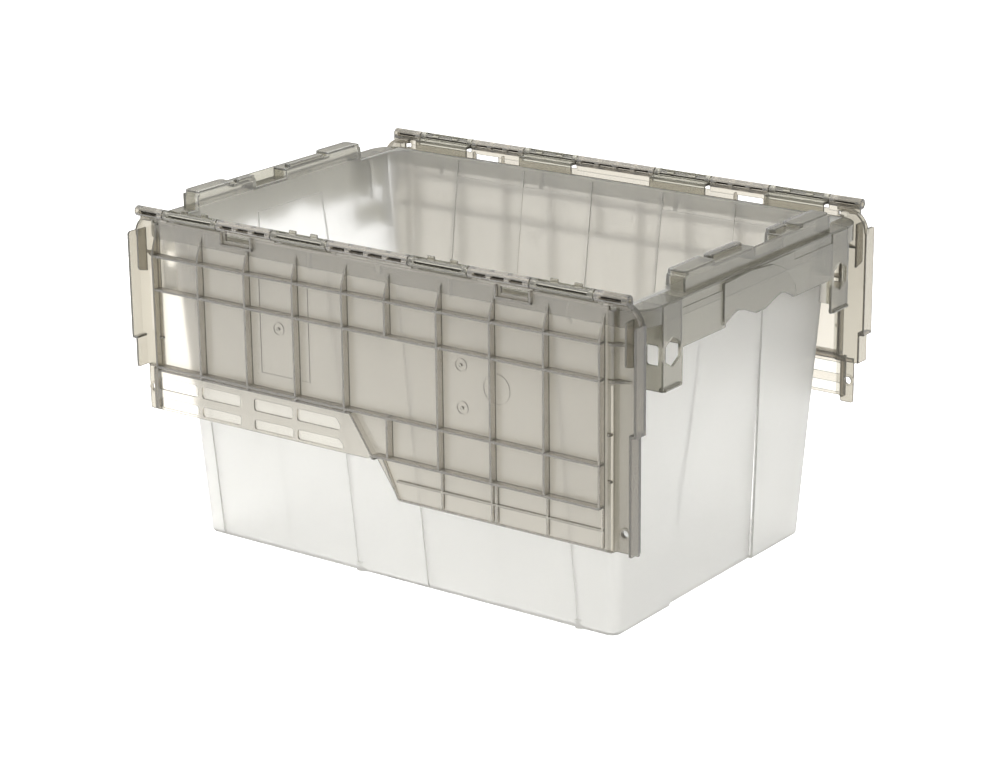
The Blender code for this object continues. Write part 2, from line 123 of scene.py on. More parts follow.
# Body: the tub and its rim
BASE_X, BASE_Y = 230, 155.5     # half sizes on the ground
MOUTH_X, MOUTH_Y = 252, 175     # half sizes under the rim
BASE_CORNER, MOUTH_CORNER = 10, 22
CAVITY_TOP = 332                # above everything on the rim
RIM_Z = 302
RIM_X, RIM_Y, RIM_CORNER = 274.2, 180.5, 24
LEAN = 14.5                     # how far the lines on a long wall lean along it, over the wall's height
PANELS_X, PANEL_WIDE = (-209, 30.7), 160
PANEL_Z, LINE_Z = (-1, 284), (3, 300)
LINES_X = (-209, -129.5, -49.5, 30.7, 110.7, 190.7)
FEET_X = (-209, -49.5, 30.7, 188)

# Body: the ends
SKIN_X = 275                    # outer side of the deep skirts
GRIP_X = 277
SKIRT_Y, SKIRT_Z = 124.5, 259
LEG_Y, LEG_Z = (123.5, 153.5), 227
LEG_WINDOW_Z, LEG_WINDOW_R = 259, 13
DAM_X, DAM_Y = (248, 269), (-111.5, 128.5)
NOTCH_Y = (2, 46.5)             # lowered stretch where the other lid's shelf lies
NOTCH_Z, DAM_Z, LUG_Z = 307, 316, 319.5
LUGS_Y = ((-110, -62), (76, 127))
STRIP_X, STRIPS_Y = 259, ((-54, -4), (48, 70))


# ---------------------------------------------------------------- solids

def rounded(points, steps=4):
    """Rounds the corners of an outline; each point is (a, b) or (a, b, radius)."""
    outline = []
    for index, point in enumerate(points):
        corner = Vector(point[:2])
        if len(point) < 3:
            outline.append(tuple(corner))
            continue
        before = (Vector(points[index - 1][:2]) - corner).normalized()
        after = (Vector(points[(index + 1) % len(points)][:2]) - corner).normalized()
        angle = before.angle(after)
        reach = point[2] / math.tan(angle / 2)
        centre = corner + (before + after).normalized() * point[2] / math.sin(angle / 2)
        start, stop = corner + before * reach - centre, corner + after * reach - centre
        turn = math.pi - angle
        for step in range(steps + 1):
            share = step / steps
            mixed = (start * math.sin((1 - share) * turn) + stop * math.sin(share * turn)) / math.sin(turn)
            outline.append(tuple(centre + mixed))
    return outline


def box_outline(a, b, radius):
    """A rounded rectangle as an outline."""
    return rounded([(a[0], b[0], radius), (a[1], b[0], radius), (a[1], b[1], radius), (a[0], b[1], radius)])


def circle(centre, radius, sides):
    """A circle as an outline."""
    outline = []
    for side in range(sides):
        angle = 2 * math.pi * side / sides
        outline.append((centre[0] + radius * math.cos(angle), centre[1] + radius * math.sin(angle)))
    return outline


def rim_ring(half_x, half_y, radius, z, steps=8):
    """Points of a rounded rectangle around the tote, at one height."""
    ring = []
    for quarter in range(4):
        middle_x = (half_x - radius) * (1 if quarter in (0, 3) else -1)
        middle_y = (half_y - radius) * (1 if quarter in (0, 1) else -1)
        for step in range(steps + 1):
            angle = (quarter + step / steps) * math.pi / 2
            ring.append((middle_x + radius * math.cos(angle), middle_y + radius * math.sin(angle), z))
    return ring


def at_end(end, span):
    """A span as it lies at one end or on one side, where end is 1 or -1."""
    return sorted(end * value for value in span)


class Moulding:
    """Solids that are joined into one moulded piece, and solids that are cut from it."""

    def __init__(self, name):
        self.name = name
        self.parts = {kind: bpy.data.collections.new("%s_%s" % (name, kind)) for kind in ("add", "cut")}
        for collection in self.parts.values():
            bpy.context.scene.collection.children.link(collection)

    def keep(self, bm, kind="add", edge=0.45):
        """Adds a closed mesh to the solids of one kind, with its sharp edges bevelled."""
        bmesh.ops.recalc_face_normals(bm, faces=bm.faces)
        if edge:
            sharp = [e for e in bm.edges if len(e.link_faces) == 2 and e.calc_face_angle() > BEVEL_ABOVE]
            bmesh.ops.bevel(bm, geom=sharp, offset=edge, segments=2, profile=0.5, affect="EDGES",
                            clamp_overlap=True)
        mesh = bpy.data.meshes.new(self.name)
        bm.to_mesh(mesh)
        bm.free()
        self.parts[kind].objects.link(bpy.data.objects.new(self.name + "_solid", mesh))

    def loft(self, rings, closed=False, **options):
        """A solid through rings of points; closed joins the last ring to the first."""
        bm = bmesh.new()
        rows = [[bm.verts.new(point) for point in ring] for ring in rings]
        pairs = list(zip(rows, rows[1:])) + ([(rows[-1], rows[0])] if closed else [])
        for low, high in pairs:
            for index in range(len(low)):
                after = (index + 1) % len(low)
                bm.faces.new((low[index], low[after], high[after], high[index]))
        if not closed:
            bm.faces.new(rows[0])
            bm.faces.new(rows[-1])
        self.keep(bm, **options)

    def prism(self, outline, axis, low, high, **options):
        """An outline in the two other axes, from low to high along axis."""
        rings = [[point[:axis] + (level,) + point[axis:] for point in outline] for level in (low, high)]
        self.loft(rings, **options)

    def box(self, x, y, z, **options):
        """A box between pairs of values, which may come in either order."""
        outline = [(min(x), min(y)), (max(x), min(y)), (max(x), max(y)), (min(x), max(y))]
        self.prism(outline, 2, min(z), max(z), **options)

    def tube(self, centre, axis, low, high, outer, inner, sides=24, **options):
        """A round ring around a line along axis, with a round hole; centre is in the two other axes."""
        rings = []
        for radius, level in ((outer, low), (outer, high), (inner, high), (inner, low)):
            outline = circle(centre, radius, sides)
            rings.append([point[:axis] + (level,) + point[axis:] for point in outline])
        self.loft(rings, closed=True, **options)

    def rod(self, centre, axis, low, high, radius, sides=24, **options):
        """A round bar along axis; centre is in the two other axes."""
        self.prism(circle(centre, radius, sides), axis, low, high, **options)

    def build(self, place=Matrix.Identity(4)):
        """Joins and cuts the solids, and returns the finished mesh in metres."""
        first = self.parts["add"].objects[0]
        self.parts["add"].objects.unlink(first)
        bpy.context.scene.collection.objects.link(first)
        for kind, operation in (("add", "UNION"), ("cut", "DIFFERENCE")):
            if len(self.parts[kind].objects):
                modifier = first.modifiers.new(kind, "BOOLEAN")
                modifier.operation = operation
                modifier.operand_type = "COLLECTION"
                modifier.collection = self.parts[kind]
                modifier.solver = SOLVER
        depsgraph = bpy.context.evaluated_depsgraph_get()
        mesh = bpy.data.meshes.new_from_object(first.evaluated_get(depsgraph))
        bm = bmesh.new()
        bm.from_mesh(mesh)
        bmesh.ops.transform(bm, matrix=place @ Matrix.Scale(MM, 4), verts=bm.verts)
        bmesh.ops.remove_doubles(bm, verts=bm.verts, dist=0.004 * MM)
        bmesh.ops.dissolve_degenerate(bm, edges=bm.edges, dist=0.002 * MM)
        for face in bm.faces:
            face.smooth = True
        for e in bm.edges:
            e.smooth = len(e.link_faces) == 2 and e.calc_face_angle(0) < SMOOTH_BELOW
        bm.to_mesh(mesh)
        bm.free()
        mesh.name = self.name
        bpy.data.objects.remove(first)
        for collection in self.parts.values():
            for obj in list(collection.objects):
                bpy.data.objects.remove(obj)
            bpy.data.collections.remove(collection)
        return mesh


def show(mesh, name, body, node_name, material):
    """Makes the finished piece, puts it on its rigid body, and hides the model part it stands for."""
    obj = bpy.data.objects.new(name, mesh)
    bpy.context.scene.collection.objects.link(obj)
    obj.data.materials.clear()
    obj.data.materials.append(material)
    weighted = obj.modifiers.new("Weighted normals", "WEIGHTED_NORMAL")
    weighted.keep_sharp = True
    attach(obj, body)
    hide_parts(node_name)


# ---------------------------------------------------------------- lid

def slant_x(v):
    """X of the slanted edge between the two halves, at one V."""
    (top_x, top_v), (tip_x, tip_v) = SLANT
    return top_x + (tip_x - top_x) * (v - top_v) / (tip_v - top_v)


def lid_mesh():
    """One lid, hanging, with the hinge axis along X through the origin."""
    lid = Moulding("lid")
    plate = [(-PLATE_X, PLATE_V), (PLATE_X, PLATE_V), (PLATE_X, LONG_V), (slant_x(LONG_V), LONG_V, 5),
             (slant_x(STEP_V), STEP_V), (-PLATE_X, STEP_V)]
    lid.prism(rounded(plate), 1, *PLATE_N)
    lid_shelf(lid)
    lid_pockets(lid)
    for end in (-1, 1):
        lid_end(lid, end)
    lid_step_end(lid)
    lid_ribs(lid)
    lid_fine_ribs(lid)
    lid_marks(lid)
    lid_eyelets(lid)
    lid_hinge(lid)
    return lid.build(Matrix.Diagonal((1, -1, -1, 1)))


def lid_shelf(lid):
    """The lowered shelf of the short half, its walls and the tab beside it."""
    step = STEP_V - WALL
    shelf = [(-SHELF_X, step), (slant_x(step), step), (slant_x(SHORT_V), SHORT_V, 3), (-SHELF_X, SHORT_V, 2)]
    lid.prism(rounded(shelf), 1, *SHELF_N)
    rise = (PLATE_N[0], SHELF_N[1])
    lid.box((-SHELF_X, slant_x(step) + 1), rise, (step, STEP_V))
    lid.box((-SHELF_X, WALL - SHELF_X), rise, (TAB_V[0], SHORT_V - 0.6))
    lid.box((-TAB_X, SHORT_RIBS[0]), PLATE_N, (TAB_V[0], STEP_V))
    inner = -251.5
    tab = [(-TAB_X, TAB_V[0]), (inner, TAB_V[0]), (inner, TAB_V[1], 2), (-TAB_X, TAB_V[1], 2)]
    lid.prism(rounded(tab), 1, *PLATE_N)
    slope = [(slant_x(step) - 1, step), (slant_x(step) + WALL, step),
             (slant_x(SHORT_V) + WALL, SHORT_V), (slant_x(SHORT_V) - 1, SHORT_V)]
    lid.prism(slope, 1, PLATE_N[1] - 1, SHELF_N[1])


def lid_pockets(lid):
    """Two rows of shallow pockets in the shelf; the last of each row follows the slanted edge."""
    for row, (start, stop) in enumerate(POCKETS_V):
        outlines = [box_outline(x, (start, stop), 2.5) for x in POCKETS_X]
        left, right = SLANTED_POCKET_X[0], SLANTED_POCKET_X[1] + 3 * row
        slanted = [(left, start, 2.5), (right - 4, start, 4), (right + 3, stop, 3), (left, stop, 2.5)]
        outlines.append(rounded(slanted))
        for outline in outlines:
            lid.prism(outline, 1, POCKET_FLOOR, 6, kind="cut", edge=0.3)


def lid_end(lid, end):
    """One end of the lid: the long half's end is 1, and the short half's is -1."""
    if end > 0:
        jog, zone_stop, flange_stop = 114, LONG_V, 218
        fins = (LEAF, LEAF, STUB)
    else:
        jog, zone_stop, flange_stop = 121, SHORT_END_V, SHORT_END_V
        fins = (LEAF, STUB, STUB)
    end_zone(lid, end, jog, zone_stop)
    corner_rim(lid, end)
    end_flange(lid, end, jog, flange_stop)
    for v, fin in zip(FINS_V, fins):
        lid.prism([(end * x, n) for x, n in fin], 2, v - RIB, v + RIB)
    tab = rounded([(-8, 17), (4, 17, 2), (4.6, 55, 3.5), (-8, 58)])
    lid.prism(tab, 0, *at_end(end, (264.8, 266.8)))


def end_zone(lid, end, jog, stop):
    """The raised strip over the dam, with a steep ramp up from the plate and a round outer corner."""
    rings = []
    for v in (3.4, 3.9, 4.8, 6, 8, 11, 15, 20, 25, jog, jog + 0.01, stop):
        out = END_X if v <= jog else END_X - JOG
        if v < END_V + END_CORNER:
            out = END_X - END_CORNER + math.sqrt(END_CORNER ** 2 - (END_V + END_CORNER - v) ** 2)
        under, over = END_N
        section = ((245.5, PLATE_N[1]), (247.5, PLATE_N[1]), (250.8, over), (out, over), (out, under),
                   (249.5, under), (246.5, PLATE_N[0]), (245.5, PLATE_N[0]))
        rings.append([(end * x, n, v) for x, n in section])
    lid.loft(rings, edge=0)


def corner_rim(lid, end):
    """The narrow rim round the outer corner beside the hinge."""
    centre_x, centre_v = END_X - END_CORNER, END_V + END_CORNER
    rim = []
    for reach in (END_CORNER, END_CORNER - 2.2):
        arc = [(centre_x - 8, centre_v - reach)]
        for step in range(9):
            angle = step * math.pi / 16
            arc.append((centre_x + reach * math.sin(angle), centre_v - reach * math.cos(angle)))
        rim += arc if reach == END_CORNER else arc[::-1]
    lid.prism([(end * x, v) for x, v in rim], 1, END_N[0], -3.5, edge=0.3)


def end_flange(lid, end, jog, stop):
    """The outer flange, which steps inward at the jog."""
    for out, low, high in ((FLANGE_X, FLANGE_V, jog), (FLANGE_X - JOG, jog - WALL, stop)):
        outline = rounded([(END_N[0], low), (RIB_OUT, low, 3), (RIB_OUT, high, 1.5), (END_N[0], high)])
        lid.prism(outline, 0, *at_end(end, (out - WALL, out)))
    lid.box((end * (FLANGE_X - JOG - WALL), end * FLANGE_X), (END_N[0], RIB_OUT), (jog - WALL, jog))


def lid_step_end(lid):
    """The last fin of the long half, and the wall that closes the short half's end zone above its shelf."""
    lid.prism(LAST_FIN, 2, LAST_FIN_V - RIB, LAST_FIN_V + RIB)
    lid.box((-TAB_X, SHORT_RIBS[0]), (END_N[0], PLATE_N[1]), (TAB_V[0], SHORT_END_V))


def deep_rib(lid, x, stop):
    """A deep rib down the lid, with a thin curved peak near the hinge."""
    root = PLATE_N[1] - 1
    side = [(root, PEAK_V), (-2.2, PEAK_V), (RIB_OUT - 1, 33.5, 12), (RIB_OUT, 39), (RIB_OUT, stop),
            (root, stop)]
    lid.prism(rounded(side), 0, x - RIB, x + RIB, edge=0.35)


def lid_ribs(lid):
    """Deep ribs down and across."""
    root = PLATE_N[1] - 1
    for ribs, stop in ((SHORT_RIBS, STEP_V - 1), (LONG_RIBS, TIP_RIB)):
        for x in ribs:
            if x == SPLIT_RIB:
                deep_rib(lid, x, CROSS_RIBS[1])
                lid.box((x - RIB, x + RIB), (root, RIB_OUT), (CROSS_RIBS[2], stop), edge=0.35)
            else:
                deep_rib(lid, x, stop)
    for v in CROSS_RIBS:
        lid.box((SHORT_RIBS[0], LONG_RIBS[-1]), (root, RIB_OUT), (v - RIB, v + RIB), edge=0.35)
    lid.box((2, LONG_RIBS[-1]), (root, RIB_OUT), (TIP_RIB - RIB, TIP_RIB + RIB), edge=0.35)


def lid_fine_ribs(lid):
    """Shallow ribs near the long half's free edge."""
    root = PLATE_N[1] - 1
    for x in LONG_RIBS[1:]:
        for shift in ((-2.5, 2.5) if x == DOUBLE_RIB else (0,)):
            lid.box((x + shift - 1, x + shift + 1), (root, FINE_OUT), FINE_V, edge=0.35)
    lid.box((25, LONG_RIBS[-1]), (root, FINE_OUT), (201, 203), edge=0.35)
    lid.box((26, 249), (root, -1), (218.7, LONG_V), edge=0.35)
    slanted = [(8, TIP_RIB), (10, TIP_RIB), (27.5, 219), (25.5, 219)]
    lid.prism(slanted, 1, root, FINE_OUT, edge=0.35)


def lid_marks(lid):
    """Small moulding marks: ejector bosses, a gate disc and a plain label frame."""
    face = PLATE_N[1] - 0.2
    for centre in EJECTORS:
        lid.tube(centre, 1, face, -1.8, 6.2, 5.3, edge=0.15)
        lid.rod(centre, 1, face, -0.8, 1.6, sides=12, edge=0.3)
    lid.tube(GATE, 1, face, -1.9, 14, 13.2, sides=36, edge=0.15)
    for x in LABEL_X:
        lid.box((x - 0.4, x + 0.4), (face, -1.9), LABEL_V, edge=0.15)
    for v in LABEL_V:
        lid.box(LABEL_X, (face, -1.9), (v - 0.4, v + 0.4), edge=0.15)


def lid_eyelets(lid):
    """The two eyelets for a cable tie, one at each end."""
    for centre, (low, high), rise in ((LONG_EYELET, END_N, 1.4), (SHORT_EYELET, PLATE_N, 0.9)):
        lid.tube(centre, 1, high - 0.2, high + rise, EYELET_RIM, EYELET + 0.1, edge=0.3)
        lid.rod(centre, 1, low - 1, high + 2.5, EYELET, kind="cut", edge=0)


def lid_hinge(lid):
    """Slotted barrels around the rod, the flaps that carry them, and the windows beside them."""
    spans = [MIDDLE_KNUCKLE] + [at_end(end, span) for end in (-1, 1) for span in LID_KNUCKLES]
    for low, high in spans:
        lid.tube((0, 0), 0, low, high, BARREL, BORE, edge=0.5)
        count = round((high - low) / SLIT_PITCH)
        pitch = (high - low - 6) / count
        for slit in range(count):
            start = low + 5.5 + slit * pitch
            lid.box((start, start + pitch - 5), (-7, 7), (-1.6, 1.4), kind="cut", edge=0)
        lid.prism(box_outline((low, high), (-1, 9), 0.8), 1, -4.9, -2.1, edge=0.4)
    for end in (-1, 1):
        lid.box(at_end(end, WINDOW_X), (-8, -1), WINDOW_V, kind="cut", edge=0)
        for x in (WINDOW_X[0] - 3.5, WINDOW_X[1] + 3.5):
            lid.box((end * (x - 1), end * (x + 1)), (-3.5, 1), (7, 19), edge=0.4)
        lid.box(at_end(end, (WINDOW_X[0] - 4, WINDOW_X[1] + 4)), (-3.5, 1), (17, 19), edge=0.4)
        lid.box(at_end(end, (245, 256)), (-8, -1), (7.5, 11.5), kind="cut", edge=0)


# ---------------------------------------------------------------- body

def tub_size(z, inset=0.0):
    """Half sizes of the tapered tub at a height, less an inset."""
    share = z / RIM_Z
    return BASE_X + (MOUTH_X - BASE_X) * share - inset, BASE_Y + (MOUTH_Y - BASE_Y) * share - inset


def tub_rings(inset, floor, top, edge):
    """Rings of the tub from its floor to its top, with a round edge round the floor."""
    rings = []
    for share in (0, 0.15, 0.45, 1):
        z = floor + edge * share
        drop = edge - math.sqrt(edge ** 2 - (edge * (1 - share)) ** 2)
        half_x, half_y = tub_size(z, inset + drop)
        rings.append(rim_ring(half_x, half_y, BASE_CORNER - inset - drop, z))
    half_x, half_y = tub_size(top, inset)
    rings.append(rim_ring(half_x, half_y, MOUTH_CORNER - inset, top))
    return rings


def wall_panel(body, along_y, side, low, high, depths, inset):
    """A shallow panel cut in one wall: low and high are its spans at z 0 and at the rim."""
    rings = []
    for z in PANEL_Z:
        half = tub_size(z, inset)[0 if along_y else 1]
        share = z / RIM_Z
        depth = depths[0] + (depths[1] - depths[0]) * share
        start = low[0] + (high[0] - low[0]) * share
        stop = low[1] + (high[1] - low[1]) * share
        near, far = side * (half - depth), side * (half + 3)
        ring = ((start, near), (stop, near), (stop, far), (start, far))
        rings.append([(d, s, z) if along_y else (s, d, z) for s, d in ring])
    body.loft(rings, kind="cut", edge=0)


def wall_panels(body, inset):
    """Two leaning panels on each long wall, and a tapered one on each short wall."""
    for side in (-1, 1):
        for start in PANELS_X:
            low = at_end(-side, (start, start + PANEL_WIDE))
            wall_panel(body, False, side, low, [x + side * LEAN for x in low], (1, 1), inset)
        wall_panel(body, True, side, (-70, 70), (-46, 46), (4.5, 0.9), inset)


def wall_lines(body, inset, low, high, kind):
    """Narrow lines down the long walls, from low to high millimetres out from one face."""
    for side in (-1, 1):
        for x in LINES_X:
            rings = []
            for z in LINE_Z:
                wall, middle = tub_size(z, inset)[1], x - LEAN * z / RIM_Z
                ring = ((middle - 1.5, wall + low), (middle + 1.5, wall + low), (middle + 1.2, wall + high),
                        (middle - 1.2, wall + high))
                rings.append([(-side * a, side * b, z) for a, b in ring])
            body.loft(rings, kind=kind, edge=0)


def cavity_mesh():
    """The inside of the tub as a solid, in millimetres."""
    inner = Moulding("inner")
    inner.loft(tub_rings(WALL, WALL, CAVITY_TOP, 2), edge=0)
    wall_panels(inner, WALL)
    wall_lines(inner, WALL, -1.6, 3, "cut")
    return inner.build(Matrix.Scale(1 / MM, 4))


def body_mesh():
    """The whole body: the tub's outer shape and what stands on it, with the cavity cut out."""
    body = Moulding("tote_body")
    body.loft(tub_rings(0, 0, RIM_Z, WALL), edge=0)
    body_rim(body)
    body_feet(body)
    for end in (-1, 1):
        body_legs(body, end)
        body_grip(body, end)
    for end in (-1, 1):
        body_dam(body, end)
    for side in (-1, 1):
        body_hinge(body, side)
        body_gussets(body, side)
    body.parts["cut"].objects.link(bpy.data.objects.new("cavity", cavity_mesh()))
    wall_panels(body, 0)
    wall_lines(body, 0, -2, 0.5, "add")
    return body.build()


def body_rim(body):
    """The flat flange round the mouth, and the shallow skirt under its edge."""
    inner = (250.6, 173.6, 28.5)
    outer = (RIM_X, RIM_Y, RIM_CORNER)
    behind = (RIM_X - WALL, RIM_Y - WALL, RIM_CORNER - WALL)
    for near, bottom, top in ((inner, RIM_Z - WALL, RIM_Z), (behind, 286, RIM_Z - 1)):
        rings = [rim_ring(*outer, bottom), rim_ring(*outer, top),
                 rim_ring(*near, top), rim_ring(*near, bottom)]
        body.loft(rings, closed=True, edge=0.5)


def body_feet(body):
    """Small steps at the foot of the long walls, where lines and panels end."""
    for side in (-1, 1):
        for x in FEET_X:
            wedge = [(x, 153), (x, 158.3), (x + 4, 158.3), (x + 13, 155)]
            body.prism([(-side * a, side * b) for a, b in wedge], 2, 0.6, 9, edge=0.6)


def body_legs(body, end):
    """The deep skirt and the two bracket legs at one end, with six-sided windows."""
    skin = at_end(end, (SKIN_X - WALL, SKIN_X))
    reach = at_end(end, (tub_size(LEG_Z)[0] - 2, SKIN_X))
    for side in (-1, 1):
        panel = box_outline(at_end(side, (56, SKIRT_Y)), (SKIRT_Z, 293), 1.5)
        body.prism(panel, 0, *skin, edge=0.5)
        leg = box_outline(at_end(side, LEG_Y), (LEG_Z, RIM_Z - 1), 1.5)
        body.prism(leg, 0, *skin, edge=0.5)
        body.box(reach, at_end(side, (LEG_Y[1] - WALL, LEG_Y[1])), (LEG_Z, RIM_Z - 1), edge=0.5)
        body.box(reach, at_end(side, (LEG_Y[0], LEG_Y[0] + WALL)), (262, RIM_Z - 1), edge=0.5)
        lip = box_outline(at_end(end, (270, 277)), (LEG_Z, LEG_Z + 3.5), 1.6)
        body.prism(lip, 1, *at_end(side, (127, 152)), edge=0.5)
        middle = side * (LEG_Y[0] + LEG_Y[1]) / 2
        window = []
        for corner in range(6):
            angle = corner * math.pi / 3
            across, up = LEG_WINDOW_R * math.sin(angle), LEG_WINDOW_R * math.cos(angle)
            window.append((middle + across, LEG_WINDOW_Z + up, 1.5))
        body.prism(rounded(window), 0, end * 262, end * 282, kind="cut", edge=0)
        side_window = box_outline(at_end(end, (258, 270)), (249, 266.5), 2)
        body.prism(side_window, 1, side * 148, side * 158, kind="cut", edge=0)


def body_grip(body, end):
    """The raised grip panel: two finger arches below, and a round shoulder at one side."""
    points = [(-62, 299, 2), (-62, 262, 1), (-51, 267, 8), (-40, 270.5, 8), (-26, 267.5, 12), (-10, 261, 10),
              (6, 261, 10), (20, 265.7, 12), (32, 269, 8), (42, 267, 8), (57, 259.5, 0.5), (57, 270, 2),
              (46, 282, 6), (36, 291, 6), (17, 298, 10), (-18, 301, 4)]
    outline = rounded([(end * y, z, radius) for y, z, radius in points])
    body.prism(outline, 0, *at_end(end, (SKIN_X - WALL, GRIP_X)), edge=1.2)
    body.box(at_end(end, (SKIN_X - WALL, SKIN_X)), (-57, 57), (271.5, RIM_Z - 2), edge=0)


def dam_block(body, end, x, y, top, radius, edge=1.2):
    """One raised block of a dam, up from the rim."""
    body.prism(box_outline(at_end(end, x), at_end(end, y), radius), 2, RIM_Z - 2, top, edge=edge)


def body_dam(body, end):
    """The hollow dam on one short rim, with a notch, rounded lugs and strips."""
    halves = ((DAM_Y[0], NOTCH_Y[0]), (NOTCH_Y[1], DAM_Y[1]))
    dam_block(body, end, DAM_X, DAM_Y, NOTCH_Z, 3)
    dam_block(body, end, (DAM_X[1] - WALL, DAM_X[1]), DAM_Y, DAM_Z, 1, edge=0.6)
    for y in halves:
        dam_block(body, end, DAM_X, y, DAM_Z, 3)
    for y in LUGS_Y:
        dam_block(body, end, DAM_X, y, LUG_Z, 5)
    for y in STRIPS_Y:
        dam_block(body, end, (DAM_X[0], STRIP_X), y, LUG_Z, 3)
    hollows = [(DAM_Y, NOTCH_Z - WALL, 0)]
    hollows += [(y, DAM_Z - WALL, 0.5) for y in halves]
    hollows += [(y, LUG_Z - 2.4, 0.5) for y in LUGS_Y]
    for (start, stop), roof, edge in hollows:
        y = at_end(end, (start + WALL, stop - WALL))
        body.box(at_end(end, (252.2, DAM_X[1] - WALL)), y, (297, roof), kind="cut", edge=edge)


def body_hinge(body, side):
    """Upstands, knuckle arms, slotted barrels and small bosses along one long rim."""
    inner = side * (RIM_Y - WALL)
    arm_top = HINGE_Z - 0.5
    slot_floor = HINGE_Z - 0.4
    for end in (-1, 1):
        for span in BODY_KNUCKLES:
            low, high = at_end(end, span)
            upstand = box_outline((low, high), (RIM_Z - 2, arm_top), 1)
            body.prism(upstand, 1, *at_end(side, (RIM_Y - WALL, RIM_Y)), edge=0.5)
            body.box((low, high), (inner, side * HINGE_Y), (arm_top - 3, arm_top), edge=0.6)
            body.tube((side * HINGE_Y, HINGE_Z), 0, low, high, BARREL, BORE, edge=0.5)
            middle = (low + high) / 2
            slot = (middle - 26, middle + 26)
            for reach, ceiling, edge in ((2.6, 320, 0.4), (6, slot_floor + 2.2, 0)):
                across = (side * (HINGE_Y - reach), side * (HINGE_Y + reach))
                body.box(slot, across, (slot_floor, ceiling), kind="cut", edge=edge)
            across = (side * (HINGE_Y - 5.2), side * (HINGE_Y - 3.4))
            for x in (middle - 12, middle + 12):
                body.box((x - 4, x + 4), across, (HINGE_Z - 1, HINGE_Z + 6.3), edge=0.8)


def body_gussets(body, side):
    """Gussets under one long rim, four tall ones and a short one in the middle."""
    for end in (-1, 1):
        for x, foot in ((77, 271), (198, 274)):
            wall = side * (tub_size(foot)[1] - 1)
            web = [(wall, foot), (side * 179, 288), (side * 179, RIM_Z - 1), (wall, RIM_Z - 1)]
            body.prism(web, 0, *at_end(end, (x - 1.3, x + 1.3)), edge=0.4)
    wall = side * 173.5
    web = [(wall, 291), (side * 179, 294), (side * 179, RIM_Z - 1), (wall, RIM_Z - 1)]
    body.prism(web, 0, -3, 3, edge=0.4)


def rod_mesh():
    """One hinge rod, along X through the origin."""
    rod = Moulding("hinge_rod")
    rod.rod((0, 0), 0, -ROD_HALF, ROD_HALF, ROD, sides=20, edge=0.4)
    return rod.build()


# ---------------------------------------------------------------- shader nodes

def set_inputs(node, values):
    """Sets a node's inputs; in their names, an underscore stands for a space."""
    for name, value in values.items():
        node.inputs[name.replace("_", " ")].default_value = value


def add_node(tree, kind, **values):
    """A new shader node with values for its inputs."""
    node = tree.nodes.new("ShaderNode" + kind)
    set_inputs(node, values)
    return node


def maths(tree, operation, *sources):
    """A maths node over outputs of other nodes and plain numbers, which are floats."""
    node = add_node(tree, "Math")
    node.operation = operation
    for socket, source in zip(node.inputs, sources):
        if isinstance(source, float):
            socket.default_value = source
        else:
            tree.links.new(source, socket)
    return node.outputs["Value"]


def remap(tree, source, start, stop, low, high, smooth=False):
    """Maps an output from the span start to stop onto the span low to high."""
    node = add_node(tree, "MapRange", From_Min=start, From_Max=stop, To_Min=low, To_Max=high)
    node.interpolation_type = "SMOOTHSTEP" if smooth else "LINEAR"
    tree.links.new(source, node.inputs["Value"])
    return node.outputs["Result"]


def noise(tree, vector, scale, detail):
    """Noise from about 0 to 1."""
    node = add_node(tree, "TexNoise", Scale=scale, Detail=detail)
    tree.links.new(vector, node.inputs["Vector"])
    return node.outputs["Fac"]


def two_tone(tree, source, first, second):
    """A colour between two, by an output from 0 to 1."""
    node = add_node(tree, "ValToRGB")
    for element, color in zip(node.color_ramp.elements, (first, second)):
        element.color = (*color, 1)
    tree.links.new(source, node.inputs["Fac"])
    return node.outputs["Color"]


def new_material(name, **values):
    """A material, its node tree and its shader, with values for the shader's inputs."""
    material = bpy.data.materials.new(name)
    material.use_nodes = True
    shader = material.node_tree.nodes["Principled BSDF"]
    set_inputs(shader, values)
    return material, material.node_tree, shader


# ---------------------------------------------------------------- materials

POLISHED_Z = (0.303, 0.307)     # metres; the plastic gets smoother from the first height to the second


def frosted(name, base, rim, walls, rough, milk, absorb, density, grain):
    """Clear or milky moulded plastic, with a tint that grows with depth.

    Walls are two distances from the middle, in metres, along X and Y. Within both of them the colour is
    base. Beyond either it is rim, a darker colour painted in as shade, and the surface is smoother, as it is
    near the top of the tote too.
    """
    material, tree, shader = new_material(name, Roughness=rough, IOR=1.46, Transmission_Weight=1 - milk)
    place = add_node(tree, "TexCoord").outputs["Object"]
    axes = add_node(tree, "SeparateXYZ")
    tree.links.new(place, axes.inputs["Vector"])
    beyond = [remap(tree, maths(tree, "ABSOLUTE", axes.outputs[axis]), wall, wall + MM, 0, 1)
              for axis, wall in zip("XY", walls)]
    painted_shade_zone = maths(tree, "MAXIMUM", *beyond)
    cloud = noise(tree, place, 9, 3)
    # Painted shade: beyond the walls the base colour gives way to the darker rim colour.
    tone = two_tone(tree, maths(tree, "MULTIPLY_ADD", cloud, 0.1, painted_shade_zone), base, rim)
    tree.links.new(tone, shader.inputs["Base Color"])
    gloss = remap(tree, cloud, 0, 1, rough * 0.85, rough * 1.2)
    polished = remap(tree, axes.outputs["Z"], *POLISHED_Z, 1, 0.2)
    smoother = maths(tree, "MINIMUM", polished, remap(tree, painted_shade_zone, 0, 1, 1, 0.5))
    tree.links.new(maths(tree, "MULTIPLY", gloss, smoother), shader.inputs["Roughness"])
    bump = add_node(tree, "Bump", Strength=grain, Distance=0.0001)
    tree.links.new(noise(tree, place, 900, 2), bump.inputs["Height"])
    tree.links.new(bump.outputs["Normal"], shader.inputs["Normal"])
    volume = add_node(tree, "VolumeAbsorption", Color=(*absorb, 1), Density=density)
    tree.links.new(volume.outputs["Volume"], tree.nodes["Material Output"].inputs["Volume"])
    return material


